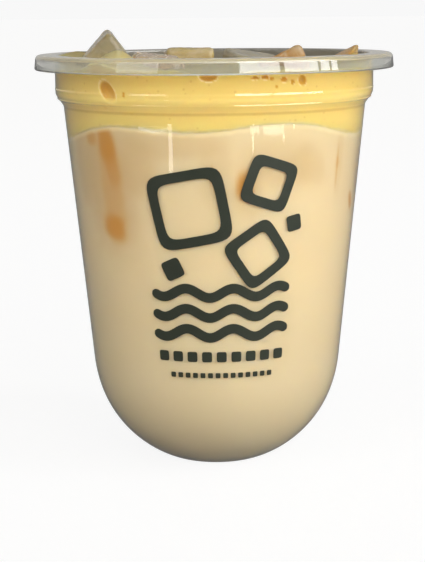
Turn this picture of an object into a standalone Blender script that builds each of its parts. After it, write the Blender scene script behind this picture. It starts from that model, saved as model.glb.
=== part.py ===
"""Iced milk tea under a thick custard cream, in a clear U-shaped cup with a wide flat rim.

Metres, +Z up. The origin is at the centre of the flat ring that the cup stands on.
The front of the cup, with its printed side, faces -Y.
"""

import math

import bmesh
import bpy
import numpy as np
from mathutils import Euler, Matrix, Vector, noise

# Cup: a thermoformed shell with one wall thickness
CUP_HEIGHT = 0.1126
RIM_RADIUS = 0.049
WALL = 0.0008
SEGMENTS = 60

# Rim: a flat slab with a skirt that hangs from its outer edge
SLAB_THICKNESS = 0.0010
SKIRT_DEPTH = 0.0040
SKIRT_THICKNESS = 0.0009
RIM_CORNER = 0.0012
MOUTH_CORNER = 0.0005

# Neck band, and the shoulder under it where the wall steps in
NECK_RADIUS = 0.04356
SHOULDER_TOP = 0.1026
SHOULDER_FOOT = 0.0983
BODY_RADIUS = 0.04146

# Body: a straight taper down to a deep bowl
BOWL_TOP = 0.0280
BOWL_RADIUS = 0.03496
BOWL_HANDLE = 0.0216
BASE_RADIUS = 0.0160
BASE_RECESS = 0.0008
RECESS_RADIUS = 0.0110
RECESS_SLOPE = 0.0010

# Contents: milk tea below, custard cream above, with ice standing in both
GAP = 0.0003
CREAM_FOOT = 0.0929
CREAM_TOP = 0.1096
RIPPLE = 0.0004
RIPPLES_PER_METRE = 160.0
TEA_BANDS = (0.084, 0.056)
CREAM_TOP_RINGS = 11
CREAM_FOOT_RINGS = 7
ON_LEVEL = 0.00001

# The line where cream meets tea rises and falls round the cup: (waves round, height, degrees of a crest)
LINE_WAVES = ((1, 0.0016, 33.0), (2, 0.0014, -10.0), (5, 0.0013, 28.7))

# Mounds of cream: (x, y, width, height above the level cream)
MOUNDS = (
    (-0.0375, 0.0040, 0.0100, 0.0034),
    (-0.0245, -0.0270, 0.0056, 0.0045),
    (0.0385, -0.0080, 0.0060, 0.0026),
    (0.0000, -0.0400, 0.0070, -0.0010),
    (-0.0200, 0.0300, 0.0080, 0.0009),
    (0.0050, -0.0060, 0.0060, 0.0010),
)

# Ice: (name, centre, size, tapered by, slope of its top along its own X and Y, turned by in degrees)
ICE = (
    ("ice_front_left", (-0.0296, -0.0050, 0.1069), (0.0160, 0.0160, 0.0170), 0.04, (-0.14, 0.0), (4, 44.5, 8)),
    ("ice_front", (-0.0150, -0.0215, 0.1043), (0.0125, 0.0140, 0.0170), 0.05, (0.0, 0.0), (5, 5, 10)),
    ("ice_middle", (-0.0074, 0.0180, 0.1037), (0.0132, 0.0190, 0.0200), 0.05, (0.0, 0.0), (-3, 1, 4)),
    ("ice_back", (0.0109, 0.0270, 0.1025), (0.0165, 0.0150, 0.0180), 0.06, (0.0, 0.0), (10, 9, 15)),
    ("ice_right", (0.0198, -0.0130, 0.1034), (0.0140, 0.0150, 0.0180), 0.04, (0.09, -0.25), (3, -24, 4)),
    ("ice_back_right", (0.0308, 0.0062, 0.1011), (0.0140, 0.0140, 0.0150), 0.13, (0.45, -0.45), (0, 0, 58)),
)
ICE_ROUNDING = 0.0016
ICE_WOBBLE = 0.0006
WOBBLES_PER_METRE = 90.0
WOBBLE_SEED = 3


def new_collection(name):
    collection = bpy.data.collections.new(name)
    bpy.context.scene.collection.children.link(collection)
    return collection


def material(name, colour, roughness, alpha=1.0, transmission=0.0):
    made = bpy.data.materials.new(name)
    made.use_nodes = True
    shader = made.node_tree.nodes["Principled BSDF"]
    shader.inputs["Base Color"].default_value = (*colour, 1.0)
    shader.inputs["Roughness"].default_value = roughness
    shader.inputs["Metallic"].default_value = 0.0
    shader.inputs["Alpha"].default_value = alpha
    shader.inputs["Transmission Weight"].default_value = transmission
    return made


def add_object(name, mesh, look, collection):
    made = bpy.data.objects.new(name, mesh)
    made.data.materials.append(look)
    collection.objects.link(made)
    return made


def arc(centre, radius, start, end, steps):
    """Points (r, z) on an arc round centre, its angles in degrees from the outward direction."""
    angles = np.radians(np.linspace(start, end, steps + 1))
    return [(centre[0] + radius * math.cos(a), centre[1] + radius * math.sin(a)) for a in angles]


def shoulder(steps):
    """The S-shaped step in from the neck band to the body."""
    share = np.linspace(0.0, 1.0, steps + 1)
    eased = share * share * (3.0 - 2.0 * share)
    r = NECK_RADIUS + (BODY_RADIUS - NECK_RADIUS) * eased
    z = SHOULDER_TOP + (SHOULDER_FOOT - SHOULDER_TOP) * share
    return list(zip(r, z))


def bowl(steps):
    """A cubic curve from the end of the straight taper to the edge of the base."""
    slope = (BODY_RADIUS - BOWL_RADIUS) / (SHOULDER_FOOT - BOWL_TOP)
    start = np.array((BOWL_RADIUS, BOWL_TOP))
    end = np.array((BASE_RADIUS, 0.0))
    pull = start - BOWL_HANDLE * np.array((slope, 1.0))
    points = []
    for t in np.linspace(0.0, 1.0, steps + 1):
        left = 1.0 - t
        points.append(tuple(left**3 * start + 3.0 * left**2 * t * pull + (3.0 * left + t) * t**2 * end))
    return points


def outer_line(top):
    """The outside of the cup from the height top down to the middle of the base, as points (r, z)."""
    base = [
        (RECESS_RADIUS, 0.0),
        (RECESS_RADIUS - RECESS_SLOPE, BASE_RECESS),
        (0.0, BASE_RECESS),
    ]
    return [(NECK_RADIUS, top)] + shoulder(6) + bowl(11) + base


def inset(line, distance):
    """The line moved inwards by distance, with its last point kept on the axis."""
    points = np.array(line)
    along = np.diff(points, axis=0)
    along /= np.linalg.norm(along, axis=1)[:, None]
    normals = np.column_stack((along[:, 1], -along[:, 0]))
    before = np.vstack((normals[:1], normals))
    after = np.vstack((normals, normals[-1:]))
    mitre = (before + after) / (1.0 + np.sum(before * after, axis=1))[:, None]
    moved = points + distance * mitre
    moved[-1, 0] = 0.0
    return [tuple(point) for point in moved]


def turned(name, line, look, collection):
    """The solid that the line makes when it is turned once round the axis."""
    mesh = bpy.data.meshes.new(name)
    edges = [(i, i + 1) for i in range(len(line) - 1)]
    mesh.from_pydata([(r, 0.0, z) for r, z in line], edges, [])
    made = add_object(name, mesh, look, collection)
    screw = made.modifiers.new("Turn", "SCREW")
    screw.axis = "Z"
    screw.angle = math.tau
    screw.steps = SEGMENTS
    screw.render_steps = SEGMENTS
    screw.use_merge_vertices = True
    screw.merge_threshold = 0.00001
    screw.use_smooth_shade = True
    return made


def applied(item):
    """The item with its modifiers made part of its mesh."""
    bpy.context.view_layer.update()
    graph = bpy.context.evaluated_depsgraph_get()
    mesh = bpy.data.meshes.new_from_object(item.evaluated_get(graph))
    item.modifiers.clear()
    item.data = mesh
    return item


def cup_line():
    """The closed outline of the cup's wall, from the middle of its floor over the rim to the base."""
    under = CUP_HEIGHT - SLAB_THICKNESS
    skirt_foot = CUP_HEIGHT - SKIRT_DEPTH
    half = SKIRT_THICKNESS / 2
    outside = outer_line(under)
    inside = inset(outside, WALL)[::-1]
    mouth = arc((NECK_RADIUS - WALL + MOUTH_CORNER, CUP_HEIGHT - MOUTH_CORNER), MOUTH_CORNER, 180, 90, 3)
    edge = arc((RIM_RADIUS - RIM_CORNER, CUP_HEIGHT - RIM_CORNER), RIM_CORNER, 90, 0, 3)
    foot = arc((RIM_RADIUS - half, skirt_foot + half), half, 0, -180, 4)
    return inside[:-1] + mouth + edge + foot + [(RIM_RADIUS - SKIRT_THICKNESS, under)] + outside


def contents_line():
    """The outside of the contents, which stand a gap clear of the cup's wall."""
    return inset(outer_line(CUP_HEIGHT), WALL + GAP)


def contents_radius(z):
    line = contents_line()[:-1]
    return float(np.interp(-z, [-point[1] for point in line], [point[0] for point in line]))


def cream_foot(x, y):
    """Height of the underside of the cream. Its waves die away towards the axis."""
    angle = math.atan2(x, -y)
    reach = min(1.0, math.hypot(x, y) / BODY_RADIUS)
    rise = sum(size * math.cos(count * (angle - math.radians(crest))) for count, size, crest in LINE_WAVES)
    return CREAM_FOOT + reach * rise


def cream_top(x, y):
    """Height of the cream's surface, with its mounds and a fine ripple."""
    z = CREAM_TOP + RIPPLE * noise.noise(Vector((x, y, 0.0)) * RIPPLES_PER_METRE)
    for mound_x, mound_y, width, height in MOUNDS:
        away = math.hypot(x - mound_x, y - mound_y) / width
        z += height * math.exp(-away * away)
    return z


def make_cup(collection):
    look = material("Clear cup", (0.90, 0.91, 0.90), 0.08, alpha=0.35, transmission=0.9)
    return turned("cup", cup_line(), look, collection)


def rings(radius, z, count):
    """Points from the axis out to radius at one height."""
    return [(radius * i / count, z) for i in range(count)]


def move_surface(item, level, height):
    """Lifts the points of a level surface to the height function and keeps its outermost ring at the wall."""
    wall = contents_radius(level)
    for point in item.data.vertices:
        x, y, z = point.co
        if abs(z - level) > ON_LEVEL:
            continue
        r = math.hypot(x, y)
        z = height(x, y)
        if r > wall - GAP:
            fitted = contents_radius(z)
            x, y = x * fitted / r, y * fitted / r
        point.co = (x, y, z)


def make_milk_tea(collection):
    look = material("Milk tea", (0.72, 0.60, 0.37), 0.25)
    level = CREAM_FOOT - GAP
    side = [point for point in contents_line() if point[1] < BOWL_TOP + WALL]
    line = rings(contents_radius(level), level, CREAM_FOOT_RINGS) + [(contents_radius(level), level)]
    line += [(contents_radius(z), z) for z in TEA_BANDS] + side
    tea = applied(turned("milk_tea", line, look, collection))
    move_surface(tea, level, lambda x, y: cream_foot(x, y) - GAP)
    return tea


def make_cream(collection):
    look = material("Custard cream", (0.90, 0.66, 0.20), 0.45)
    top = contents_radius(CREAM_TOP)
    foot = contents_radius(CREAM_FOOT)
    side = [point for point in contents_line() if SHOULDER_FOOT - WALL < point[1] < CREAM_TOP - WALL]
    line = rings(top, CREAM_TOP, CREAM_TOP_RINGS) + [(top, CREAM_TOP)] + side
    line += [(foot, CREAM_FOOT)] + rings(foot, CREAM_FOOT, CREAM_FOOT_RINGS)[::-1]
    cream = applied(turned("cream", line, look, collection))
    move_surface(cream, CREAM_TOP, cream_top)
    move_surface(cream, CREAM_FOOT, cream_foot)
    return cream


def ice_mesh(name, centre, size, taper, slope, turns, seed):
    """An uneven cube, narrower at its lower end, with rounded edges, in place."""
    shape = bmesh.new()
    bmesh.ops.create_cube(shape, size=1.0)
    for corner in shape.verts:
        narrowed = 1.0 + 2.0 * taper * corner.co.z
        corner.co.x *= narrowed * size[0]
        corner.co.y *= narrowed * size[1]
        level = corner.co.z > 0.0
        corner.co.z *= size[2]
        if level:
            corner.co.z += slope[0] * corner.co.x + slope[1] * corner.co.y
        corner.co += ICE_WOBBLE * noise.noise_vector(corner.co * WOBBLES_PER_METRE + Vector((seed, 0.0, 0.0)))
    bmesh.ops.bevel(
        shape,
        geom=shape.edges[:],
        offset=ICE_ROUNDING,
        affect="EDGES",
        segments=2,
        profile=0.5,
        material=-1,
    )
    turn = Euler([math.radians(angle) for angle in turns]).to_matrix().to_4x4()
    bmesh.ops.transform(shape, matrix=Matrix.Translation(centre) @ turn, verts=shape.verts)
    mesh = bpy.data.meshes.new(name)
    shape.to_mesh(mesh)
    shape.free()
    return mesh


def make_ice(collection, cutters):
    """The cubes, and for each a cutter that is larger by the gap all over."""
    look = material("Ice", (0.78, 0.74, 0.62), 0.15, alpha=0.6, transmission=0.6)
    noise.seed_set(WOBBLE_SEED)
    for seed, (name, *shape) in enumerate(ICE):
        mesh = ice_mesh(name, *shape, seed)
        add_object(name, mesh, look, collection)
        cutter = add_object("cut_" + name, mesh.copy(), look, cutters)
        grow = cutter.modifiers.new("Grow", "DISPLACE")
        grow.strength = GAP
        grow.mid_level = 0.0
        cutter.display_type = "WIRE"
        cutter.hide_render = True


def cut_with(item, cutters):
    cut = item.modifiers.new("Ice", "BOOLEAN")
    cut.operation = "DIFFERENCE"
    cut.operand_type = "COLLECTION"
    cut.collection = cutters
    cut.solver = "EXACT"


for leftover in list(bpy.data.objects):
    bpy.data.objects.remove(leftover, do_unlink=True)

drink = new_collection("Iced milk tea")
cutters = new_collection("Cutters")
make_cup(drink)
tea = make_milk_tea(drink)
cream = make_cream(drink)
make_ice(drink, cutters)
cut_with(tea, cutters)
cut_with(cream, cutters)
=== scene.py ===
import math

import bmesh
import bpy
import numpy as np
from mathutils import Matrix, Vector, noise


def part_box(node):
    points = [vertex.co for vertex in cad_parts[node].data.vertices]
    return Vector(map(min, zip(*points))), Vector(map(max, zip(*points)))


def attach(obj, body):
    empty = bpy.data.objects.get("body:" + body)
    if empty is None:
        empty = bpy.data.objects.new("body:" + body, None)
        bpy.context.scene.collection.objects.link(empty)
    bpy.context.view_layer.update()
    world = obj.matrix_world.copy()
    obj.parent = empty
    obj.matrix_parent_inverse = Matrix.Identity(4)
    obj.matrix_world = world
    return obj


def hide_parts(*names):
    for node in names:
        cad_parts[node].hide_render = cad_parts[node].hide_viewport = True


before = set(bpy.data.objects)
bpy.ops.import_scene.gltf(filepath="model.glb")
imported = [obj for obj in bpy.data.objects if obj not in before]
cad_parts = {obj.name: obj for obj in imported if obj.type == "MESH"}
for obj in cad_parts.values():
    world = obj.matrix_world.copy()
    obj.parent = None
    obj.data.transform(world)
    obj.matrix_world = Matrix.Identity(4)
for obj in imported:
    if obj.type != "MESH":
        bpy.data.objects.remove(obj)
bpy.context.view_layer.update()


# Camera
# It stands about an arm's length in front of the cup, a little above the rim, and looks slightly down.
# The picture is 425 by 562 pixels, and the cup leans in it by half a degree.
PHOTO_HEIGHT = 562
FOCAL_LENGTH_IN_PIXELS = 1291
CAMERA_DISTANCE = 0.360
CAMERA_ABOVE_RIM = 0.0105
CAMERA_LEFT = 0.00097
CAMERA_PITCH = math.radians(11.7)
CAMERA_ROLL = math.radians(-0.55)

rim_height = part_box("cup")[1].z
rim_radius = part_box("cup")[1].x
camera = bpy.data.objects.new("camera", bpy.data.cameras.new("camera"))
camera.data.sensor_width = 36.0
camera.data.lens = camera.data.sensor_width * FOCAL_LENGTH_IN_PIXELS / PHOTO_HEIGHT
camera.data.clip_start = 0.01
tilt = Matrix.Rotation(math.pi / 2 - CAMERA_PITCH, 4, "X") @ Matrix.Rotation(CAMERA_ROLL, 4, "Z")
place = Matrix.Translation((-CAMERA_LEFT, -CAMERA_DISTANCE, rim_height + CAMERA_ABOVE_RIM))
camera.matrix_world = place @ tilt
bpy.context.scene.collection.objects.link(camera)
bpy.context.scene.camera = camera


# Clear cup
# A thin shell drawn from one sheet of clear plastic: a wide flat rim with a skirt, a straight neck band, a
# shoulder where the wall steps in, with a fine bead above it and one on it, a straight taper and a deep
# round bowl on a small flat ring. Its outline is spun round the axis, with the wall's thickness already in
# the outline.
WALL = 0.0008
SLAB_THICKNESS = 0.0010
SKIRT_DEPTH = 0.0040
SKIRT_THICKNESS = 0.0009
SKIRT_LEAN = 0.00025
RIM_CORNER = 0.0012
MOUTH_CORNER = 0.0005
NECK_RADIUS = 0.04356
SHOULDER_TOP = 0.1026
SHOULDER_FOOT = 0.0988
SHOULDER_CREASE = 0.82
BODY_RADIUS = 0.04146
BOWL_TOP = 0.0280
BOWL_RADIUS = 0.03496
BOWL_HANDLE = 0.0216
BASE_RADIUS = 0.0160
BASE_RECESS = 0.0008
RECESS_RADIUS = 0.0110
RECESS_SLOPE = 0.0010
# Beads: (height, size, half width)
RIDGES = ((0.1034, 0.00010, 0.00050), (0.1008, 0.00030, 0.00042))
RIDGE_MARGIN = 0.0008
RIDGE_STEP = 0.00006
SHOULDER_POINTS = 15
TAPER_POINTS = 24
BOWL_POINTS = 41
CUP_STEPS = 192
SECTORS = 8
MERGE = 1e-6
CLEAR_WALL = (0.93, 0.94, 0.92)
RIM_GREY = (0.74, 0.75, 0.73)
RIM_CREAMY = (0.90, 0.82, 0.60)
TEA_FILM = (0.20, 0.185, 0.15)
SLAB_MILKINESS = 0.38
FILM_STRENGTH = 0.92
LIGHT_THROUGH_WALL = (0.96, 0.96, 0.95)
LIGHT_THROUGH_RIM = (0.60, 0.60, 0.58)


def arc(centre, radius, start, end, steps):
    """Points (r, z) on an arc round centre, its angles in degrees from the outward direction."""
    angles = np.radians(np.linspace(start, end, steps + 1))
    return [(centre[0] + radius * math.cos(a), centre[1] + radius * math.sin(a)) for a in angles]


def shoulder_radius(z):
    """Outer radius of the neck band and of the shoulder. The wall steps in with an S-shaped curve, whose last
    part is cut off, so that a crease is left at its foot."""
    share = SHOULDER_CREASE * np.clip((SHOULDER_TOP - z) / (SHOULDER_TOP - SHOULDER_FOOT), 0.0, 1.0)
    whole = SHOULDER_CREASE**2 * (3.0 - 2.0 * SHOULDER_CREASE)
    return NECK_RADIUS + (BODY_RADIUS - NECK_RADIUS) * share * share * (3.0 - 2.0 * share) / whole


def ridge(z):
    """How far the beads stand out at the height z."""
    return sum(
        size * np.cos(np.clip((z - level) / half, -1, 1) * math.pi / 2) ** 2
        for level, size, half in RIDGES
    )


def outer_line(top, ridged=False):
    """The outside of the wall from the height top down to the middle of the base, as points (r, z)."""
    if ridged:
        z = np.arange(RIDGES[0][0] + RIDGE_MARGIN, SHOULDER_FOOT, -RIDGE_STEP)
        neck = list(zip(shoulder_radius(z) + ridge(z), z))
    else:
        z = np.linspace(SHOULDER_TOP, SHOULDER_FOOT, SHOULDER_POINTS)[:-1]
        neck = list(zip(shoulder_radius(z), z))
    slope = (BODY_RADIUS - BOWL_RADIUS) / (SHOULDER_FOOT - BOWL_TOP)
    levels = np.linspace(SHOULDER_FOOT, BOWL_TOP, TAPER_POINTS)[:-1]
    taper = [(BODY_RADIUS - slope * (SHOULDER_FOOT - z), z) for z in levels]
    start = np.array((BOWL_RADIUS, BOWL_TOP))
    end = np.array((BASE_RADIUS, 0.0))
    pull = start - BOWL_HANDLE * np.array((slope, 1.0))
    bowl = []
    for t in np.linspace(0.0, 1.0, BOWL_POINTS):
        left = 1.0 - t
        bowl.append(tuple(left**3 * start + 3.0 * left**2 * t * pull + (3.0 * left + t) * t**2 * end))
    base = [(RECESS_RADIUS, 0.0), (RECESS_RADIUS - RECESS_SLOPE, BASE_RECESS), (0.0, BASE_RECESS)]
    return [(NECK_RADIUS, top)] + neck + taper + bowl + base


def inset(line, distance):
    """The line moved inwards by distance, with its last point kept on the axis."""
    points = np.array(line)
    along = np.diff(points, axis=0)
    along /= np.linalg.norm(along, axis=1)[:, None]
    normals = np.column_stack((along[:, 1], -along[:, 0]))
    before = np.vstack((normals[:1], normals))
    after = np.vstack((normals, normals[-1:]))
    mitre = (before + after) / (1.0 + np.sum(before * after, axis=1))[:, None]
    moved = points + distance * mitre
    moved[-1, 0] = 0.0
    return [tuple(point) for point in moved]


def new_piece(name, shape, look, node=None, sharp=40.0):
    """Makes an object of the bmesh shape, which rides on the cup's one body and may stand for a CAD node."""
    mesh = bpy.data.meshes.new(name)
    shape.to_mesh(mesh)
    shape.free()
    mesh.shade_smooth()
    mesh.set_sharp_from_angle(angle=math.radians(sharp))
    mesh.materials.append(look)
    made = bpy.data.objects.new(name, mesh)
    bpy.context.scene.collection.objects.link(made)
    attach(made, "root")
    if node:
        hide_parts(node)
    return made


def spun(line, steps):
    """A bmesh of the line turned once round the axis, with its faces pointing outwards. One sector of the
    turn is spun, and copies of it make the rest."""
    shape = bmesh.new()
    points = [shape.verts.new((r, 0.0, z)) for r, z in line]
    edges = [shape.edges.new(pair) for pair in zip(points, points[1:])]
    centre, axis = (0.0, 0.0, 0.0), (0.0, 0.0, 1.0)
    sector = math.tau / SECTORS
    bmesh.ops.spin(shape, geom=points + edges, axis=axis, cent=centre, angle=sector, steps=steps // SECTORS)
    first = shape.verts[:] + shape.edges[:] + shape.faces[:]
    for number in range(1, SECTORS):
        copy = bmesh.ops.duplicate(shape, geom=first)["geom"]
        moved = [item for item in copy if isinstance(item, bmesh.types.BMVert)]
        bmesh.ops.rotate(shape, cent=centre, matrix=Matrix.Rotation(number * sector, 3, "Z"), verts=moved)
    bmesh.ops.remove_doubles(shape, verts=shape.verts, dist=MERGE)
    bmesh.ops.recalc_face_normals(shape, faces=shape.faces)
    return shape


def fill(tree, node, inputs):
    """Sets inputs of a node, each to a value or to what another node gives out."""
    for key, value in inputs.items():
        if isinstance(value, bpy.types.NodeSocket):
            tree.links.new(value, node.inputs[key])
        else:
            node.inputs[key].default_value = value


def adder(tree):
    """A short way to add a node to the tree, with its inputs and settings."""
    def add(kind, inputs=None, **settings):
        node = tree.nodes.new(kind)
        for key, value in settings.items():
            setattr(node, key, value)
        fill(tree, node, inputs or {})
        return node

    return add


def new_look(name):
    """A material with a Principled shader, and the short way to add nodes to it."""
    look = bpy.data.materials.new(name)
    look.use_nodes = True
    tree = look.node_tree
    return look, tree, tree.nodes["Principled BSDF"], adder(tree)


def blend(add, share, *colours):
    """The colour between two, by share. Each is three numbers or what another node gives out."""
    first, second = [(*colour, 1.0) if isinstance(colour, tuple) else colour for colour in colours]
    return add("ShaderNodeMix", {"Factor": share, "A": first, "B": second}, data_type="RGBA").outputs["Result"]


def ramp(add, value, start, end, low=0.0, high=1.0, kind="LINEAR"):
    """Turns values from start to end into values from low to high, and holds them beyond."""
    ends = {"Value": value, "From Min": start, "From Max": end, "To Min": low, "To Max": high}
    return add("ShaderNodeMapRange", ends, interpolation_type=kind).outputs[0]


def maths(add, operation, *values, clamp=False):
    """What a Math node makes of the values."""
    return add("ShaderNodeMath", dict(enumerate(values)), operation=operation, use_clamp=clamp).outputs[0]


def let_lamps_through(tree, shader, add, rim):
    """Lamps shine through the clear shader, so that what is behind it is lit as through thin plastic. The
    rim is thicker and lets less through."""
    path = add("ShaderNodeLightPath")
    clear = add("ShaderNodeBsdfTransparent", {"Color": blend(add, rim, LIGHT_THROUGH_WALL, LIGHT_THROUGH_RIM)})
    ends = {0: path.outputs["Is Shadow Ray"], 1: shader.outputs[0], 2: clear.outputs[0]}
    mix = add("ShaderNodeMixShader", ends)
    tree.links.new(mix.outputs[0], tree.nodes["Material Output"].inputs["Surface"])


def clear_plastic():
    """Clear and slightly scuffed on the wall, milky in the stretched rim, and wet with tea above the cream."""
    look, tree, shader, add = new_look("clear plastic")
    place = add("ShaderNodeTexCoord").outputs["Object"]
    parts = add("ShaderNodeSeparateXYZ", {0: place}).outputs
    level = add("ShaderNodeCombineXYZ", {"X": parts["X"], "Y": parts["Y"]})
    radius = add("ShaderNodeVectorMath", {0: level.outputs[0]}, operation="LENGTH").outputs["Value"]
    streaks = add("ShaderNodeMapping", {"Vector": place, "Scale": (1.0, 1.0, 0.12)})
    scuffs = add("ShaderNodeTexNoise", {"Vector": streaks.outputs[0], "Scale": 900.0, "Detail": 3.0})
    patches = add("ShaderNodeTexNoise", {"Vector": place, "Scale": 150.0, "Detail": 3.0})

    # The rim is milkiest in the slab at its top, and clearer behind than in front
    rim = ramp(add, radius, NECK_RADIUS + 0.0002, NECK_RADIUS + 0.0010)
    cloudy = ramp(add, patches.outputs["Fac"], 0.3, 0.7, 0.03, 0.11)
    slab = ramp(add, parts["Z"], rim_height - 0.0013, rim_height - 0.0009, 0.0, SLAB_MILKINESS)
    behind = ramp(add, parts["Y"], -0.004, 0.012)
    ahead = ramp(add, behind, 0.0, 1.0, 1.0, 0.35)
    near_rim = maths(add, "MULTIPLY", rim, ahead)
    milky = maths(add, "MULTIPLY", near_rim, maths(add, "ADD", cloudy, slab))

    # A film of tea lies on the back of the wall, above the cream
    above = ramp(add, parts["Z"], rim_height - 0.0036, rim_height - 0.0028, 0.0, FILM_STRENGTH)
    film = maths(add, "SUBTRACT", maths(add, "MULTIPLY", above, behind), rim, clamp=True)
    dull = maths(add, "MAXIMUM", milky, film)
    haze = ramp(add, scuffs.outputs["Fac"], 0.35, 0.75, 0.015, 0.05)
    rim_colour = blend(add, ramp(add, slab, 0.0, SLAB_MILKINESS), RIM_GREY, RIM_CREAMY)
    pale = blend(add, rim, CLEAR_WALL, rim_colour)
    waves = add("ShaderNodeTexNoise", {"Vector": place, "Scale": 55.0, "Detail": 1.0})
    bump = add("ShaderNodeBump", {"Height": waves.outputs["Fac"], "Strength": 0.03, "Distance": 0.0008})
    fill(tree, shader, {
        "Base Color": blend(add, film, pale, TEA_FILM),
        "Transmission Weight": maths(add, "SUBTRACT", 1.0, dull),
        "Roughness": maths(add, "MULTIPLY_ADD", dull, 0.15, haze),
        "Normal": bump.outputs[0],
        "IOR": 1.49,
        "Coat Weight": 1.0,
        "Coat Roughness": 0.04,
    })
    let_lamps_through(tree, shader, add, rim)
    return look


under_rim = rim_height - SLAB_THICKNESS
skirt_foot = rim_height - SKIRT_DEPTH
half_skirt = SKIRT_THICKNESS / 2
outside = outer_line(under_rim, ridged=True)
cup_outline = (
    inset(outer_line(under_rim), WALL)[::-1]
    + arc((NECK_RADIUS - WALL + MOUTH_CORNER, rim_height - MOUTH_CORNER), MOUTH_CORNER, 180, 90, 6)
    + arc((rim_radius - SKIRT_LEAN - RIM_CORNER, rim_height - RIM_CORNER), RIM_CORNER, 90, 5, 8)
    + arc((rim_radius - half_skirt, skirt_foot + half_skirt), half_skirt, 5, -180, 10)
    + [(rim_radius - SKIRT_THICKNESS - SKIRT_LEAN, under_rim)]
    + outside
)
cup = new_piece("clear_cup", spun(cup_outline, CUP_STEPS), clear_plastic(), "cup")


# Milk tea
# The drink fills the cup from its floor to the wavy line under the cream. Its surface lies just inside the
# wall's thickness, so that it shows wet against the plastic. Cubes of ice press against the wall from
# inside: where one touches, no milk is between and the tea shows amber, and round it the milk is thin and
# looks grey and tan.
INTO_WALL = 0.0003
CREAM_FOOT = 0.0929
# Waves of the line under the cream: (number round the cup, size, crest in degrees from the front)
LINE_WAVES = ((1, 0.0016, 33.0), (2, 0.0014, -10.0), (5, 0.0013, 28.7))
LINE_RUFFLE = 0.00035
LINE_GRAIN = 420.0
LINE_REACH = 0.012
CONTENTS_STEPS = 320
TEA_SIDE_STEP = 0.0007
TEA_TOP_RINGS = 12
ON_WALL = 1e-5
TEA_DARK = (0.695, 0.560, 0.340)
TEA_LIGHT = (0.760, 0.630, 0.395)
# Painted shade: the tea turns darker and greyer down in the bowl, where less light reaches it.
BOWL_PAINTED_SHADE = (0.50, 0.44, 0.31)
THIN_MILK = (0.62, 0.460, 0.245)
AMBER = (0.58, 0.29, 0.055)
TEA_AT_CREAM = (0.95, 0.78, 0.44)
PATCH_ROUNDNESS = 2.6
PATCH_WOBBLE = 0.14
PATCH_GRAIN = 260.0
PATCH_SOFTNESS = 7.0

# Each patch of sunk ice: (angle round from the front in degrees, height, half width, half height, lean,
# strength)
AMBER_PATCHES = (
    (-43.5, 0.0905, 0.0030, 0.0050, 0.12, 0.95),
    (-41.5, 0.0850, 0.0022, 0.0050, 0.10, 0.55),
    (-42.5, 0.0790, 0.0036, 0.0120, 0.06, 0.42),
    (-43.4, 0.0690, 0.0036, 0.0033, 0.10, 0.95),
    (-52.0, 0.0920, 0.0022, 0.0018, 0.00, 0.65),
    (10.8, 0.0808, 0.0021, 0.0034, 0.00, 1.00),
    (-0.5, 0.0828, 0.0005, 0.0030, 0.05, 0.75),
    (53.0, 0.0840, 0.0005, 0.0050, 0.00, 0.45),
    (53.0, 0.0850, 0.0006, 0.0014, 0.00, 0.55),
    (68.5, 0.0735, 0.0012, 0.0024, 0.35, 0.95),
    (112.0, 0.0830, 0.0028, 0.0060, 0.10, 0.80),
    (113.0, 0.0730, 0.0034, 0.0042, -0.10, 0.55),
    (151.0, 0.0860, 0.0040, 0.0038, 0.10, 0.70),
    (166.0, 0.0760, 0.0008, 0.0060, 0.05, 0.60),
    (-168.0, 0.0840, 0.0036, 0.0050, -0.12, 0.85),
    (-146.0, 0.0770, 0.0026, 0.0090, 0.05, 0.60),
    (-120.0, 0.0880, 0.0042, 0.0030, 0.00, 0.75),
    (-96.0, 0.0800, 0.0012, 0.0060, 0.10, 0.60),
)
THIN_MILK_PATCHES = (
    (-57.0, 0.0850, 0.0060, 0.0110, 0.00, 0.75),
    (-44.0, 0.0790, 0.0085, 0.0160, 0.05, 0.80),
    (-30.0, 0.0860, 0.0060, 0.0080, 0.00, 0.75),
    (-14.0, 0.0910, 0.0120, 0.0032, 0.00, 0.55),
    (0.0, 0.0840, 0.0040, 0.0080, 0.00, 0.40),
    (12.0, 0.0790, 0.0035, 0.0060, 0.00, 0.55),
    (24.0, 0.0860, 0.0090, 0.0060, 0.25, 0.60),
    (37.0, 0.0850, 0.0050, 0.0050, 0.30, 0.60),
    (54.0, 0.0850, 0.0016, 0.0085, 0.00, 0.45),
    (76.0, 0.0830, 0.0060, 0.0080, 0.00, 0.45),
    (112.0, 0.0790, 0.0090, 0.0130, 0.00, 0.70),
    (150.0, 0.0830, 0.0100, 0.0090, 0.00, 0.60),
    (-168.0, 0.0820, 0.0090, 0.0110, 0.00, 0.65),
    (-145.0, 0.0790, 0.0070, 0.0130, 0.00, 0.60),
    (-118.0, 0.0860, 0.0100, 0.0080, 0.00, 0.60),
    (-92.0, 0.0820, 0.0060, 0.0110, 0.00, 0.60),
)

contents_line = inset(outer_line(rim_height), WALL - INTO_WALL)
contents_radii, contents_heights = np.array(contents_line[:-1]).T
contents_depths = -contents_heights


def contents_radius(z):
    """Radius of the side of the drink and of the cream at the height z."""
    return float(np.interp(-z, contents_depths, contents_radii))


def cream_foot(x, y):
    """Height of the line between tea and cream. Its waves die away towards the axis."""
    angle = math.atan2(x, -y)
    reach = min(1.0, math.hypot(x, y) / BODY_RADIUS)
    rise = sum(size * math.cos(count * (angle - math.radians(crest))) for count, size, crest in LINE_WAVES)
    return CREAM_FOOT + reach * rise + LINE_RUFFLE * noise.noise(Vector((x, y, 0.0)) * LINE_GRAIN)


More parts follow.
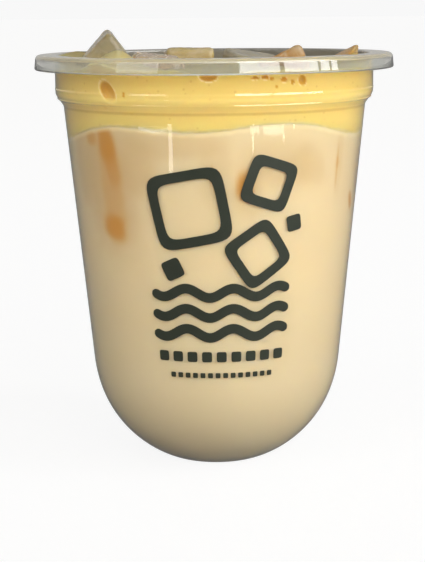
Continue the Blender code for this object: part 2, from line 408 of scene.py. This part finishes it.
def patch_strength(patches, x, y, z):
    """How strongly the patches of sunk ice show at a point of the wall, from 0 to 1."""
    left = 1.0
    angle = math.degrees(math.atan2(x, -y))
    r = math.hypot(x, y)
    wobble = noise.noise(Vector((x, y, z)) * PATCH_GRAIN)
    for centre, height, half_width, half_height, lean, strength in patches:
        up = z - height
        if abs(up) > 2.2 * half_height:
            continue
        turn = (angle - centre + 180.0) % 360.0 - 180.0
        along = math.radians(turn) * r + lean * up
        far = abs(along / half_width) ** PATCH_ROUNDNESS + abs(up / half_height) ** PATCH_ROUNDNESS
        away = far ** (1 / PATCH_ROUNDNESS) + PATCH_WOBBLE * wobble
        if away < 3.0:
            left *= 1.0 - strength / (1.0 + math.exp((away - 1.0) * PATCH_SOFTNESS))
    return 1.0 - left


def set_values(piece, name, values):
    """Gives each point of a piece a number, which its look reads by name."""
    attribute = piece.data.attributes.new(name, "FLOAT", "POINT")
    attribute.data.foreach_set("value", np.array(values, np.float32))


def milk_tea_look():
    """Milky tan with soft clouds and painted shade that makes it darker and greyer down in the bowl, with the
    patches of sunk ice and a pale edge under the cream."""
    look, tree, shader, add = new_look("milk tea")
    place = add("ShaderNodeTexCoord").outputs["Object"]
    names = ("amber", "thin_milk", "to_cream")
    amber, thin, to_cream = [add("ShaderNodeAttribute", attribute_name=name).outputs["Fac"] for name in names]
    clouds = add("ShaderNodeTexNoise", {"Vector": place, "Scale": 45.0, "Detail": 4.0, "Roughness": 0.55})
    height = add("ShaderNodeSeparateXYZ", {0: place}).outputs["Z"]
    colour = blend(add, clouds.outputs["Fac"], TEA_DARK, TEA_LIGHT)
    for share, tint in (
        # Painted shade, darker and greyer down in the bowl
        (ramp(add, height, 0.065, 0.020, 0.0, 0.35, "SMOOTHSTEP"), BOWL_PAINTED_SHADE),
        (thin, THIN_MILK),
        (amber, AMBER),
        (ramp(add, to_cream, 0.0016, 0.0001, 0.0, 0.75, "SMOOTHSTEP"), TEA_AT_CREAM),
    ):
        colour = blend(add, share, colour, tint)
    fill(tree, shader, {
        "Base Color": colour,
        "Roughness": 0.45,
        "Specular IOR Level": 0.0,
        "Subsurface Weight": 0.4,
        "Subsurface Radius": (0.004, 0.003, 0.0015),
        "Subsurface Scale": 1.0,
    })
    return look


tea_low = [point for point in contents_line if point[1] < BOWL_TOP - 0.0001]
tea_side = [(contents_radius(z), z) for z in np.arange(CREAM_FOOT, BOWL_TOP, -TEA_SIDE_STEP)]
tea_top = [(tea_side[0][0] * share, CREAM_FOOT) for share in np.linspace(0.0, 1.0, TEA_TOP_RINGS)[:-1]]
tea_shape = spun(tea_top + tea_side + tea_low, CONTENTS_STEPS)
for point in tea_shape.verts:
    x, y, z = point.co
    if z > CREAM_FOOT - LINE_REACH:
        r = math.hypot(x, y)
        share = (z - CREAM_FOOT + LINE_REACH) / LINE_REACH
        risen = z + share * (cream_foot(x, y) - CREAM_FOOT)
        fitted = contents_radius(risen) / r if r > contents_radius(z) - ON_WALL else 1.0
        point.co = (x * fitted, y * fitted, risen)
tea = new_piece("milk_tea_drink", tea_shape, milk_tea_look(), "milk_tea")
tea_points = [tuple(point.co) for point in tea.data.vertices]
set_values(tea, "amber", [patch_strength(AMBER_PATCHES, *point) for point in tea_points])
set_values(tea, "thin_milk", [patch_strength(THIN_MILK_PATCHES, *point) for point in tea_points])
set_values(tea, "to_cream", [cream_foot(x, y) - z for x, y, z in tea_points])


# Custard cream
# A thick yellow foam, poured last, that lies over the tea and between the cubes. Through the wall it shows fine
# pores, a few air bubbles against the plastic and one long bubble where it has drawn back under the rim.
CREAM_TOP = 0.1096
CREAM_OVERLAP = 0.00004
CREAM_STEPS = 760
CREAM_SIDE_STEP = 0.0004
CREAM_TOP_RINGS = 48
CREAM_FOOT_RINGS = 10
CREAM_DARK = (0.77, 0.580, 0.180)
CREAM_LIGHT = (0.83, 0.650, 0.230)
PORE = (0.55, 0.33, 0.08)
BUBBLE_EDGE = (0.90, 0.74, 0.42)
BUBBLE_INSIDE = (0.60, 0.31, 0.03)
SOAKED = (0.95, 0.78, 0.40)
# Painted light: the cream in the band behind the shoulder is brightened against its shade.
SHOULDER_PAINTED_LIGHT = (1.0, 0.770, 0.29)
# Painted shade: the mounds on top of the cream are greyed, as if in the shade of the rim.
MOUNDS_PAINTED_SHADE = (0.62, 0.53, 0.27)
# Painted shade: a darker line in the cream along the crease at the shoulder's foot.
CREASE_PAINTED_SHADE = (0.50, 0.33, 0.07)
# Folds and bumps of the surface: (size, fineness)
FOLDS = ((0.0004, 160.0), (0.00022, 520.0))
# Mounds and dips of the surface: (x, y, width, height)
MOUNDS = (
    (-0.0375, 0.0040, 0.0100, 0.0034),
    (-0.0245, -0.0270, 0.0056, 0.0045),
    (0.0385, -0.0080, 0.0060, 0.0026),
    (0.0000, -0.0400, 0.0070, -0.0010),
    (-0.0200, 0.0300, 0.0080, 0.0009),
    (0.0050, -0.0060, 0.0060, 0.0010),
)

# Air bubbles against the wall: (angle round from the front in degrees, height, half width, half height, lean)
BUBBLES = (
    (-38.3, 0.1042, 0.0027, 0.0031, 0.45),
    (30.2, 0.1068, 0.0014, 0.0015, 0.1),
    (26.4, 0.1064, 0.0007, 0.0007, 0.0),
    (23.2, 0.1071, 0.0010, 0.0008, 0.0),
    (18.9, 0.1074, 0.0006, 0.0005, 0.0),
    (16.6, 0.1078, 0.0012, 0.0007, 0.0),
    (13.2, 0.1076, 0.0013, 0.0005, 0.0),
    (20.6, 0.1055, 0.0004, 0.0005, 0.0),
    (-2.0, 0.1082, 0.0026, 0.0015, 0.0),
    (-31.5, 0.1036, 0.0004, 0.0007, 0.0),
    (-41.0, 0.1005, 0.0005, 0.0010, 0.2),
    (96.0, 0.1010, 0.0015, 0.0019, 0.2),
    (131.0, 0.1068, 0.0020, 0.0014, 0.0),
    (158.0, 0.1035, 0.0009, 0.0010, 0.0),
    (-171.0, 0.1064, 0.0024, 0.0016, 0.2),
    (-140.0, 0.1047, 0.0012, 0.0014, 0.0),
    (-104.0, 0.1072, 0.0016, 0.0010, 0.0),
    (-82.0, 0.1020, 0.0010, 0.0013, 0.0),
)
BUBBLE_DEPTH = 0.45
BUBBLE_RING = 0.12
HOLLOW_SLOPE = 6.0
HOLLOW_START = 0.6


def cream_top(x, y):
    """Height of the cream's surface, with its mounds, soft folds and small bumps."""
    spot = Vector((x, y, 0.0))
    z = CREAM_TOP
    for size, fineness in FOLDS:
        z += size * noise.noise(spot * fineness)
    for mound_x, mound_y, width, height in MOUNDS:
        away = math.hypot(x - mound_x, y - mound_y) / width
        z += height * math.exp(-away * away)
    return z


def nearest_bubble(x, y, z):
    """(share of the way in from the nearest bubble's edge, its half width), or (0, 0) outside them all."""
    angle = math.degrees(math.atan2(x, -y))
    r = math.hypot(x, y)
    best = (0.0, 0.0)
    for centre, height, half_width, half_height, lean in BUBBLES:
        up = z - height
        turn = (angle - centre + 180.0) % 360.0 - 180.0
        along = math.radians(turn) * r + lean * up
        away = math.hypot(along / half_width, up / half_height)
        if 1.0 - away > best[0]:
            best = (1.0 - away, half_width)
    return best


def custard_cream_look():
    """Yellow foam with fine pores: browner inside its bubbles and pale along the tea, with painted light
    brightening the band behind the shoulder, painted shade greying its mounds and a painted shade line along
    the crease."""
    look, tree, shader, add = new_look("custard cream")
    place = add("ShaderNodeTexCoord").outputs["Object"]
    names = ("hollow", "bubble_ring", "above_tea")
    hollow, ring, above_tea = [add("ShaderNodeAttribute", attribute_name=name).outputs["Fac"] for name in names]
    clouds = add("ShaderNodeTexNoise", {"Vector": place, "Scale": 70.0, "Detail": 5.0, "Roughness": 0.6})
    pores = add("ShaderNodeTexVoronoi", {"Vector": place, "Scale": 420.0, "Randomness": 1.0})
    height = add("ShaderNodeSeparateXYZ", {0: place}).outputs["Z"]
    shoulder = (SHOULDER_TOP + SHOULDER_FOOT) / 2
    from_shoulder = maths(add, "ABSOLUTE", maths(add, "SUBTRACT", height, shoulder))
    from_crease = maths(add, "ABSOLUTE", maths(add, "SUBTRACT", height, SHOULDER_FOOT))
    colour = blend(add, clouds.outputs["Fac"], CREAM_DARK, CREAM_LIGHT)
    for share, tint in (
        (ramp(add, pores.outputs["Distance"], 0.10, 0.16, 0.35, 0.0), PORE),
        (ring, BUBBLE_EDGE),
        (hollow, BUBBLE_INSIDE),
        (ramp(add, above_tea, 0.0009, 0.0, 0.0, 0.55, "SMOOTHSTEP"), SOAKED),
        # Painted light, brightening the band of cream behind the shoulder
        (ramp(add, from_shoulder, 0.0023, 0.0012, 0.0, 0.8, "SMOOTHSTEP"), SHOULDER_PAINTED_LIGHT),
        # Painted shade, greying the cream's mounds
        (ramp(add, height, CREAM_TOP + 0.0002, CREAM_TOP + 0.0016, 0.0, 0.8), MOUNDS_PAINTED_SHADE),
        # Painted shade, a darker line along the crease
        (ramp(add, from_crease, 0.0006, 0.0001, 0.0, 0.45, "SMOOTHSTEP"), CREASE_PAINTED_SHADE),
    ):
        colour = blend(add, share, colour, tint)
    fine = add("ShaderNodeTexNoise", {"Vector": place, "Scale": 1500.0, "Detail": 2.0})
    bump = add("ShaderNodeBump", {"Height": fine.outputs["Fac"], "Strength": 0.15, "Distance": 0.0003})
    fill(tree, shader, {
        "Base Color": colour,
        "Normal": bump.outputs[0],
        "Roughness": 0.42,
        "Specular IOR Level": 0.0,
        "Subsurface Weight": 0.8,
        "Subsurface Radius": (0.005, 0.004, 0.002),
        "Subsurface Scale": 1.0,
    })
    return look


levels = np.arange(CREAM_TOP, CREAM_FOOT, -CREAM_SIDE_STEP)
cream_side = [(contents_radius(z) + CREAM_OVERLAP, z) for z in levels]
cream_radius = contents_radius(CREAM_TOP) + CREAM_OVERLAP
cream_line = [(cream_radius * share, CREAM_TOP) for share in np.linspace(0.0, 1.0, CREAM_TOP_RINGS)[:-1]]
cream_line += cream_side
cream_line += [(cream_side[-1][0] * share, CREAM_FOOT) for share in np.linspace(1.0, 0.0, CREAM_FOOT_RINGS)]
cream_shape = spun(cream_line, CREAM_STEPS)
bubble_shares = []
for point in cream_shape.verts:
    x, y, z = point.co
    r = math.hypot(x, y)
    on_wall = r > contents_radius(z) and z > CREAM_FOOT
    below = min(1.0, max(0.0, (SHOULDER_FOOT - z) / (SHOULDER_FOOT - CREAM_FOOT)))
    if z > CREAM_TOP - MERGE:
        z = cream_top(x, y)
    elif z < SHOULDER_FOOT:
        z = z + below * (cream_foot(x, y) - CREAM_FOOT)
    else:
        lift = cream_top(x, y) - CREAM_TOP
        z = z + lift * max(0.0, (z - SHOULDER_TOP) / (CREAM_TOP - SHOULDER_TOP)) ** 2
    share = 0.0
    if on_wall:
        share, half_width = nearest_bubble(x, y, z)
        fitted = (contents_radius(z) + CREAM_OVERLAP - BUBBLE_DEPTH * half_width * share) / r
        x, y = x * fitted, y * fitted
    bubble_shares.append(share)
    point.co = (x, y, z)
cream = new_piece("custard_cream", cream_shape, custard_cream_look(), "cream")
hollows = [min(1.0, max(0.0, share * HOLLOW_SLOPE - HOLLOW_START)) for share in bubble_shares]
set_values(cream, "hollow", hollows)
set_values(cream, "bubble_ring", [1.0 if 0.0 < share < BUBBLE_RING else 0.0 for share in bubble_shares])
set_values(cream, "above_tea", [p.co.z - cream_foot(p.co.x, p.co.y) for p in cream.data.vertices])


# Ice
# Cubes from an ice machine, melted round at their edges, wet, and frosted where air was frozen in. Each is made
# from its CAD solid, turned to an even fine mesh and worn down by shallow hollows.
# Each cube: (tint, how clear it is, how white its frost)
ICE_TINTS = {
    "ice_front_left": ((0.56, 0.49, 0.31), 0.50, 0.25),
    "ice_front": ((0.78, 0.58, 0.38), 0.35, 0.8),
    "ice_middle": ((0.57, 0.44, 0.19), 0.10, 0.35),
    "ice_back": ((0.43, 0.37, 0.23), 0.10, 0.15),
    "ice_right": ((0.62, 0.34, 0.10), 0.30, 0.50),
    "ice_back_right": ((0.80, 0.50, 0.14), 0.45, 0.4),
}
FROST_WHITE = (0.84, 0.72, 0.55)
ICE_GRAIN = 0.0005
MELT_DEPTH = 0.0004
WIDE_HOLLOWS = 190.0
SMALL_HOLLOWS = 600.0


def ice_look(name, tint, clearness, frost):
    """Wet ice of one tint, white along its cracks and in clouds of frozen air."""
    look, tree, shader, add = new_look(name)
    place = add("ShaderNodeTexCoord").outputs["Object"]
    cracks = add("ShaderNodeTexVoronoi", {"Vector": place, "Scale": 260.0}, feature="DISTANCE_TO_EDGE")
    veins = ramp(add, cracks.outputs["Distance"], 0.10, 0.0, 0.0, frost)
    clouds = add("ShaderNodeTexNoise", {"Vector": place, "Scale": 160.0, "Detail": 5.0}).outputs["Fac"]
    white = maths(add, "MAXIMUM", veins, ramp(add, clouds, 0.45, 0.65, 0.0, frost))
    bump = add("ShaderNodeBump", {"Height": clouds, "Strength": 0.4, "Distance": 0.0006})
    fill(tree, shader, {
        "Base Color": blend(add, white, tint, FROST_WHITE),
        "Roughness": ramp(add, white, 0.0, 1.0, 0.08, 0.45),
        "Normal": bump.outputs[0],
        "IOR": 1.31,
        "Transmission Weight": clearness,
        "Subsurface Weight": 0.4,
        "Subsurface Radius": (0.006, 0.005, 0.003),
        "Subsurface Scale": 1.0,
    })
    return look


for name, (tint, clearness, frost) in ICE_TINTS.items():
    shape = bmesh.new()
    shape.from_mesh(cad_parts[name].data)
    bmesh.ops.remove_doubles(shape, verts=shape.verts, dist=MERGE)
    rough_mesh = bpy.data.meshes.new("rough ice")
    shape.to_mesh(rough_mesh)
    shape.free()
    rough = bpy.data.objects.new("rough ice", rough_mesh)
    bpy.context.scene.collection.objects.link(rough)
    remesh = rough.modifiers.new("grain", "REMESH")
    remesh.mode = "VOXEL"
    remesh.voxel_size = ICE_GRAIN
    graph = bpy.context.evaluated_depsgraph_get()
    shape = bmesh.new()
    shape.from_mesh(rough.evaluated_get(graph).to_mesh())
    bpy.data.objects.remove(rough)
    for _ in range(2):
        bmesh.ops.smooth_vert(
            shape, verts=shape.verts, factor=0.5, use_axis_x=True, use_axis_y=True, use_axis_z=True
        )
    shape.normal_update()
    moves = []
    for point in shape.verts:
        wide = noise.noise(point.co * WIDE_HOLLOWS)
        depth = 0.5 + 0.5 * wide + 0.25 * noise.noise(point.co * SMALL_HOLLOWS)
        moves.append(point.normal * (-MELT_DEPTH * max(0.0, depth)))
    for point, move in zip(shape.verts, moves):
        point.co += move
    cube = new_piece(name + "_cube", shape, ice_look(name, tint, clearness, frost), name, sharp=180.0)


# Printed sign
# A screen print in one dark ink on the front of the wall: tumbling ice cubes over three waves, with two rows of
# small marks below. Each is a thin flat plate that is bent round the wall and lies just on it.
INK_THICKNESS = 0.00004
INK_LIFT = 0.00002
PRINT_CENTRE = math.radians(2.0)
PRINT_RADIUS = 0.0385
STROKE = 0.0026
# Cubes: (across, height, half width, turned by in degrees, drawn as an outline)
CUBES = (
    (-0.0080, 0.0750, 0.0098, 11.0, True),
    (0.0122, 0.0812, 0.0064, -19.0, True),
    (0.0098, 0.0630, 0.0072, 34.0, True),
    (-0.0128, 0.0592, 0.0026, 25.0, False),
    (0.0195, 0.0705, 0.0021, 10.0, False),
)
WAVES = (0.0530, 0.0476, 0.0422)
WAVE_LENGTH = 0.0126
WAVE_SIZE = 0.0012
WAVE_ACROSS = 0.0190
# Rows of small marks: (height, half width of the row, number, half width of a mark)
ROWS = ((0.0357, 0.0165, 9, 0.0014), (0.0306, 0.0140, 14, 0.0007))
CUBE_POWER = 6.0
LOOP_POINTS = 72
INK_DARK = (0.040, 0.050, 0.033)
INK_LIGHT = (0.062, 0.070, 0.048)


def plate(shape, across, height, half_width, turn=0.0, outline=False):
    """A flat square with rounded corners in the unrolled plane of the wall, whole or as an outline."""
    inner = half_width - STROKE if outline else half_width * 0.5
    loops = []
    for size in (inner, (inner + half_width) / 2, half_width):
        made = bmesh.ops.create_circle(shape, cap_ends=False, segments=LOOP_POINTS, radius=1.0)
        for point in made["verts"]:
            x, y, _ = point.co
            point.co *= size / (abs(x) ** CUBE_POWER + abs(y) ** CUBE_POWER) ** (1.0 / CUBE_POWER)
        place = Matrix.Translation((across, height, 0.0)) @ Matrix.Rotation(math.radians(turn), 4, "Z")
        bmesh.ops.transform(shape, matrix=place, verts=made["verts"])
        loops.append(list({edge for point in made["verts"] for edge in point.link_edges}))
    if not outline:
        bmesh.ops.contextual_create(shape, geom=loops[0])
    for small, large in zip(loops, loops[1:]):
        bmesh.ops.bridge_loops(shape, edges=small + large)


def wave(shape, height):
    """A wavy strip with round ends."""
    made = bmesh.ops.create_grid(shape, x_segments=150, y_segments=2, size=1.0)
    for point in made["verts"]:
        along = point.co.x * WAVE_ACROSS
        end = min(1.0, max(0.0, (abs(along) - WAVE_ACROSS) / (STROKE / 2) + 1.0))
        aside = point.co.y * STROKE / 2 * math.sqrt(max(0.01, 1.0 - end * end))
        turn = math.tau * along / WAVE_LENGTH
        slope = WAVE_SIZE * math.tau / WAVE_LENGTH * math.cos(turn)
        level = WAVE_SIZE * math.sin(turn)
        point.co = Vector((along, height + level, 0.0)) + aside * Vector((-slope, 1.0, 0.0)).normalized()


def ink_look():
    """Almost black ink, a little uneven."""
    look, tree, shader, add = new_look("print ink")
    place = add("ShaderNodeTexCoord").outputs["Object"]
    grain = add("ShaderNodeTexNoise", {"Vector": place, "Scale": 260.0, "Detail": 4.0})
    fill(tree, shader, {"Base Color": blend(add, grain.outputs["Fac"], INK_DARK, INK_LIGHT), "Roughness": 0.32})
    return look


shape = bmesh.new()
for cube in CUBES:
    plate(shape, *cube)
for height in WAVES:
    wave(shape, height)
for height, half_row, count, half_width in ROWS:
    for across in np.linspace(-half_row, half_row, count):
        plate(shape, across, height, half_width)
bmesh.ops.recalc_face_normals(shape, faces=shape.faces)
bmesh.ops.solidify(shape, geom=shape.faces[:], thickness=INK_THICKNESS)
wall_radii, wall_heights = np.array([point for point in outside if point[1] > 0.001]).T
for point in shape.verts:
    across, height, depth = point.co
    r = float(np.interp(-height, -wall_heights, wall_radii)) + INK_LIFT + abs(depth)
    angle = PRINT_CENTRE + across / PRINT_RADIUS
    point.co = (r * math.sin(angle), -r * math.cos(angle), height)
bmesh.ops.recalc_face_normals(shape, faces=shape.faces)
print_piece = new_piece("printed_cubes_and_waves", shape, ink_look())


# Floor and light
# A plain pale floor in a plain pale room. A window of four panes stands to the camera's right and a weaker
# pane to its left. Each is a lamp, and a mirrored pane in its place that only shows as a glint. Soft lights
# above the camera and at the upper left fill the shadows, and sunlit patches of the floor give small low
# glints.
WINDOW_DISTANCE = 1.5
WINDOW_FOOT = 0.10
FLOOR_RADIUS = 40.0
FLOOR_GREY = (0.12, 0.12, 0.12)
FLOOR_GLOW = 0.10
FLOOR_GLOW_SEEN = 0.785
SUN_PATCH_LEVEL = 0.0005
ROOM_SEEN = 0.94
ROOM_LIGHT_LOW = 0.02
ROOM_LIGHT_HIGH = 0.12
ROOM_LIGHT_COLOUR = (1.0, 0.98, 0.93)
# How much brighter the room is through clear plastic and in a mirrored glint
ROOM_EXTRA = (("Is Transmission Ray", 0.46), ("Is Glossy Ray", 0.40))
WHITE = (1.0, 1.0, 1.0, 1.0)
# Panes: (from, to in degrees round from the camera, top, light on the cup, brightness of the mirrored pane)
PANES = (
    (15.0, 40.0, 1.50, 5.0, 18.0),
    (43.0, 66.0, 1.50, 3.6, 18.0),
    (68.0, 74.5, 1.50, 28.0, 18.0),
    (76.5, 81.0, 1.50, 28.0, 18.0),
    (-62.0, -34.0, 1.10, 4.8, 5.0),
)
# Sunlit patches, seen only as glints: (x, y, width, depth, turned by in degrees, brightness)
SUN_PATCHES = (
    (0.2700, -0.2915, 0.115, 0.0175, 35.8, 7.5),
    (0.1847, -0.3435, 0.046, 0.0150, 23.4, 7.5),
    (0.1670, -0.3240, 0.007, 0.0360, 26.0, 10.0),
    (-0.2770, -0.2870, 0.185, 0.0070, -36.4, 9.0),
    (-0.1900, -0.3050, 0.018, 0.0900, -30.0, 9.0),
    (0.3640, -0.2190, 0.010, 0.0090, 31.0, 14.0),
    (0.3020, -0.2470, 0.009, 0.0110, 31.0, 12.0),
)
# Soft lights: (place, width, height, brightness)
SOFT_LIGHTS = (((0.10, -1.05, 0.46), 0.5, 0.4, 12.0), ((-0.95, -0.70, 0.75), 0.5, 0.5, 6.8))


def area_lamp(name, centre, turn, width, height, strength, mirrored=False):
    """A flat lamp that the camera doesn't see. It either lights the cup or only shows as a glint in what is
    glossy. Its strength is its brightness, whatever its size."""
    lamp = bpy.data.lights.new(name, "AREA")
    lamp.shape = "RECTANGLE"
    lamp.size = width
    lamp.size_y = height
    lamp.energy = strength * width * height
    made = bpy.data.objects.new(name, lamp)
    made.location = centre
    made.rotation_euler = turn
    made.visible_camera = False
    made.visible_glossy = mirrored
    made.visible_diffuse = not mirrored
    made.visible_transmission = not mirrored
    lamp.cycles.use_multiple_importance_sampling = mirrored
    bpy.context.scene.collection.objects.link(made)


for number, (start, end, top, light, glint) in enumerate(PANES):
    middle = math.radians((start + end) / 2)
    centre = (WINDOW_DISTANCE * math.sin(middle), -WINDOW_DISTANCE * math.cos(middle), (WINDOW_FOOT + top) / 2)
    size = (2 * WINDOW_DISTANCE * math.tan(math.radians((end - start) / 2)), top - WINDOW_FOOT)
    area_lamp(f"pane {number}", centre, (math.pi / 2, 0.0, middle), *size, light)
    area_lamp(f"mirrored pane {number}", centre, (math.pi / 2, 0.0, middle), *size, glint, mirrored=True)
for number, (x, y, width, depth, turn, glint) in enumerate(SUN_PATCHES):
    turn = (math.pi, 0.0, math.radians(turn))
    area_lamp(f"patch {number}", (x, y, SUN_PATCH_LEVEL), turn, width, depth, glint, mirrored=True)
for number, (centre, width, height, strength) in enumerate(SOFT_LIGHTS):
    facing = (Vector((0.0, 0.0, rim_height / 2)) - Vector(centre)).to_track_quat("-Z", "Y").to_euler()
    area_lamp(f"soft light {number}", centre, facing, width, height, strength)

floor_mesh = bpy.data.meshes.new("floor")
shape = bmesh.new()
bmesh.ops.create_circle(shape, cap_ends=True, segments=96, radius=FLOOR_RADIUS)
shape.to_mesh(floor_mesh)
shape.free()
floor_look, tree, shader, add = new_look("pale floor")
path = add("ShaderNodeLightPath").outputs
seen = maths(add, "MULTIPLY_ADD", path["Is Camera Ray"], FLOOR_GLOW_SEEN, FLOOR_GLOW)
straight = maths(add, "SUBTRACT", 1.0, path["Diffuse Depth"], clamp=True)
fill(tree, shader, {
    "Base Color": (*FLOOR_GREY, 1.0),
    "Roughness": 0.8,
    "Emission Color": WHITE,
    "Emission Strength": maths(add, "MULTIPLY", seen, straight),
})
floor_mesh.materials.append(floor_look)
floor = bpy.data.objects.new("floor", floor_mesh)
floor.visible_diffuse = False
bpy.context.scene.collection.objects.link(floor)

# The room looks white, and lights the cup more softly than it looks, from above more than from below
world = bpy.data.worlds.new("pale room")
bpy.context.scene.world = world
world.use_nodes = True
tree = world.node_tree
add = adder(tree)
seen = tree.nodes["Background"]
fill(tree, seen, {"Color": WHITE, "Strength": ROOM_SEEN})
direction = add("ShaderNodeTexCoord").outputs["Generated"]
height = add("ShaderNodeSeparateXYZ", {0: direction}).outputs["Z"]
strength = ramp(add, height, -0.3, 0.5, ROOM_LIGHT_LOW, ROOM_LIGHT_HIGH)
path = add("ShaderNodeLightPath").outputs
for ray, extra in ROOM_EXTRA:
    strength = maths(add, "MULTIPLY_ADD", path[ray], extra, strength)
lighting = add("ShaderNodeBackground", {"Color": (*ROOM_LIGHT_COLOUR, 1.0), "Strength": strength})
mix = add("ShaderNodeMixShader", {0: path["Is Camera Ray"], 1: lighting.outputs[0], 2: seen.outputs[0]})
tree.links.new(mix.outputs[0], tree.nodes["World Output"].inputs["Surface"])
bpy.context.scene.view_settings.view_transform = "Standard"
